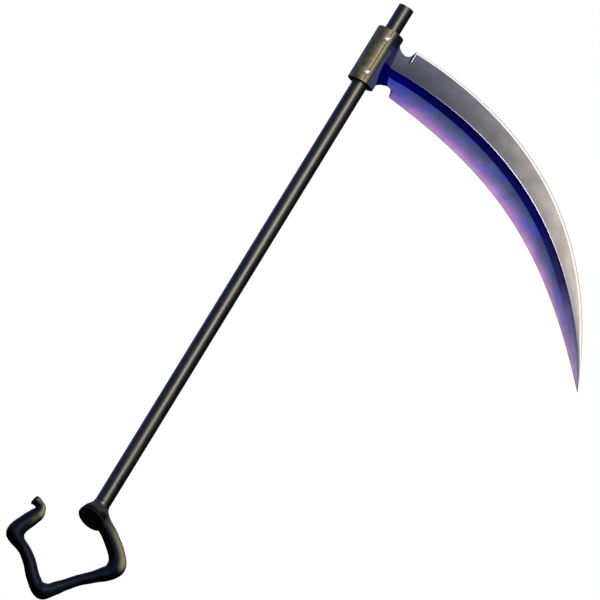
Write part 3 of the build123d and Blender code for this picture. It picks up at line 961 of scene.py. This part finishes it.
def bar_rings():
    """Rings along the bent bar, from the shaft's foot to its rounded free end."""
    rings = []
    for first, second in zip(bar_stations, bar_stations[1:]):
        start, end = (Vector((x, 0, z)) for x, z, _, _ in (first, second))
        chord = (end - start).length
        headings = [math.radians(station[2]) for station in (first, second)]
        pulls = [Vector((math.cos(angle), 0, math.sin(angle))) * chord for angle in headings]
        last = second is bar_stations[-1]
        for step in range(span_steps):
            share = step / span_steps
            if last and (1 - share) * chord < tip_round:
                continue
            point = start * (1 + 2 * share) * (1 - share) ** 2 + end * share**2 * (3 - 2 * share)
            point += pulls[0] * share * (1 - share) ** 2 - pulls[1] * share**2 * (1 - share)
            heading = mix(headings[0], headings[1], share)
            radius = mix(first[3], second[3], smooth_step(0, 1, share))
            rings.append(ring_at(point, Vector((math.cos(heading), 0, math.sin(heading))), radius))
    x, z, heading, radius = bar_stations[-1]
    heading = math.radians(heading)
    normal = Vector((math.cos(heading), 0, math.sin(heading)))
    for turn in (0, 30, 60, 90):
        turn = math.radians(turn)
        centre = Vector((x, 0, z)) - normal * tip_round * (1 - math.sin(turn))
        rings.append(ring_at(centre, normal, radius - tip_round * (1 - math.cos(turn))))
    return rings


def knob_rings():
    """Rings down the knob to the seat of its rubber foot."""
    rings = []
    down = Vector((0, 0, -1))
    for x, z, radius, share in knob_stations:
        rings.append(ring_at(Vector((x, 0, z)), mix(down, knob_face_normal, share).normalized(), radius))
    seat = knob_face_centre - knob_face_normal * pad_thickness
    rings.append(ring_at(seat, knob_face_normal, knob_face_radius))
    return rings


def crook_mesh():
    """Bar, knob and spigot joined into one forged surface by a voxel remesh, shaded smooth."""
    rough = bmesh.new()
    tube(rough, bar_rings())
    tube(rough, knob_rings())
    up = Vector((0, 0, 1))
    tube(rough, [ring_at(Vector((0, 0, z)), up, spigot_radius) for z in (spigot_root, spigot_length)])
    bmesh.ops.recalc_face_normals(rough, faces=rough.faces)
    mesh = bpy.data.meshes.new("crook_rough")
    rough.to_mesh(mesh)
    rough.free()
    block = bpy.data.objects.new("crook_block", mesh)
    bpy.context.scene.collection.objects.link(block)
    remesh = block.modifiers.new("join", "REMESH")
    remesh.mode = "VOXEL"
    remesh.voxel_size = voxel
    remesh.use_smooth_shade = True
    depsgraph = bpy.context.evaluated_depsgraph_get()
    joined = bpy.data.meshes.new_from_object(block.evaluated_get(depsgraph), depsgraph=depsgraph)
    bpy.data.objects.remove(block)
    return joined


def smooth_crook(mesh):
    """Relax the surface, most where the knob and the bar flow together, and not at the joint."""
    work = bmesh.new()
    work.from_mesh(mesh)
    foot = Vector((0, 0, foot_z))
    meeting = Vector((meeting_x, 0, meeting_height)) * mm + foot
    seat = (knob_face_centre - knob_face_normal * pad_thickness) * mm + foot
    free = [vert for vert in work.verts if vert.co.z < foot_z - kept_rim * mm]
    near = [
        vert for vert in free
        if (vert.co - meeting).length < meeting_reach * mm
        and (vert.co - seat).dot(knob_face_normal) < -kept_rim * mm
    ]
    axes = {"use_axis_x": True, "use_axis_y": True, "use_axis_z": True}
    for group, rounds in ((free, free_rounds), (near, meeting_rounds)):
        for _ in range(rounds):
            bmesh.ops.smooth_vert(work, verts=group, factor=0.5, **axes)
    for face in work.faces:
        face.smooth = True
    work.to_mesh(mesh)
    work.free()
    return mesh


crook = new_piece("forged_crook", smooth_crook(crook_mesh()), [finishes["crook_enamel"]])
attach(crook, "shaft")
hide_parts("crook")


# ---- Studio -------------------------------------------------------------------------------

def area_light(name, place, aim, size, watts, tint, mirrored=True):
    """Soft box of (width, height) in metres at a place, turned to face its aim. One that isn't
    mirrored lights the faces but isn't seen reflected in them."""
    data = bpy.data.lights.new(name, "AREA")
    data.shape = "RECTANGLE"
    data.size, data.size_y = size
    data.energy = watts
    data.color = tint
    light = bpy.data.objects.new(name, data)
    light.location = place
    light.rotation_mode = "QUATERNION"
    light.rotation_quaternion = (Vector(aim) - Vector(place)).to_track_quat("-Z", "Y")
    light.visible_glossy = mirrored
    bpy.context.scene.collection.objects.link(light)


lit_wall = (0.08, 0.13, 0.24, 1)
dark_wall = (0.012, 0.012, 0.014, 1)
soft_grey = (0.12, 0.12, 0.125, 1)
white = (1, 1, 1, 1)


def make_world():
    """White behind the object, and a soft grey light on it. For what it reflects, a dim room:
    navy above and to the left, and nearly black below and to the right."""
    world = bpy.data.worlds.new("studio_world")
    world.use_nodes = True
    room = Nodes(world.node_tree)
    x, _, z = room.parts_of(room.node("TexCoord").outputs["Generated"])
    lit = room.calc("MULTIPLY", room.spread(z, -0.25, 0.25), room.spread(x, 0.9, 0.3))
    walls = room.blend(lit, dark_wall, lit_wall)
    path = room.node("LightPath").outputs
    shown = room.blend(path["Is Glossy Ray"], soft_grey, walls)
    shown = room.blend(path["Is Camera Ray"], shown, white)
    room.tree.links.new(shown, room.tree.nodes["Background"].inputs["Color"])
    bpy.context.scene.world = world


def make_floor(height):
    """Plain pale floor under the object. It fades out with distance and is open from below,
    because the camera looks up at the scythe from under the floor's level."""
    made = Finish("studio_floor")
    x, y, _ = made.parts_of(made.place())
    square = made.calc("ADD", made.calc("POWER", x, 2.0), made.calc("POWER", y, 2.0))
    away = made.calc("SQRT", square)
    grain = made.noise(made.place(), scale=3, detail=4)
    base = made.ramp(grain, [(0.3, colour(236, 236, 236)), (0.7, colour(243, 243, 243))])
    made.finish(base, made.spread(grain, 0.3, 0.7, 0.75, 0.85), None)
    clear = made.node("BsdfTransparent").outputs[0]
    faded = made.spread(away, 1.2, 3.4)
    below = made.node("NewGeometry").outputs["Backfacing"]
    hidden = made.calc("MAXIMUM", faded, below)
    choose = made.node("MixShader", {0: hidden, 1: made.shader.outputs[0], 2: clear}).outputs[0]
    made.tree.links.new(choose, made.tree.nodes["Material Output"].inputs["Surface"])
    mesh = bpy.data.meshes.new("floor_mesh")
    half = 4.0
    corners = [(-half, -half), (half, -half), (half, half), (-half, half)]
    mesh.from_pydata([(*corner, height) for corner in corners], [], [(0, 1, 2, 3)])
    floor = new_piece("studio_floor", mesh, [made.material])
    floor.visible_glossy = False
    floor.visible_diffuse = False
    floor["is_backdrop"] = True


def make_camera():
    """Camera in front of the scythe and below it, looking up along the blade's face, and rolled
    so that the shaft leans to the right."""
    data = bpy.data.cameras.new("camera")
    data.lens = 1000
    data.sensor_width = 36
    data.clip_end = 100
    rise, lean = math.radians(12.5), math.radians(31.49)
    look = Vector((0, math.cos(rise), math.sin(rise)))
    shaft_up = Vector((0, -math.sin(rise), math.cos(rise)))
    right = Vector((math.cos(lean), 0, 0)) + shaft_up * math.sin(lean)
    up = Vector((-math.sin(lean), 0, 0)) + shaft_up * math.cos(lean)
    target, distance = Vector((0.1240, 0, 0.0591)), 33.333
    camera = bpy.data.objects.new("camera", data)
    turn = Matrix((right, up, -look)).transposed().to_4x4()
    camera.matrix_world = Matrix.Translation(target - look * distance) @ turn
    bpy.context.scene.collection.objects.link(camera)
    bpy.context.scene.camera = camera


middle, shaft_middle = (0.1, 0, 0.1), (0, 0, 0.1)
area_light("key_strip", (0.38, -2.4, 0.64), shaft_middle, (0.5, 1.7), 51, (1.0, 0.95, 0.84))
area_light(
    "fill_front", (-0.4, -3.0, 0.3), middle, (2.2, 2.4), 38, (0.96, 0.98, 1.0), mirrored=False
)
area_light("cool_rim", (-1.6, 1.15, 0.5), middle, (0.6, 2.2), 7, (0.26, 0.32, 1.0))
area_light("back_soft", (0.4, 2.1, 2.2), middle, (1.6, 1.8), 36, (1.0, 0.99, 0.97))
make_world()
make_floor(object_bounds()[0].z)
make_camera()
bpy.context.scene.view_settings.view_transform = "Standard"
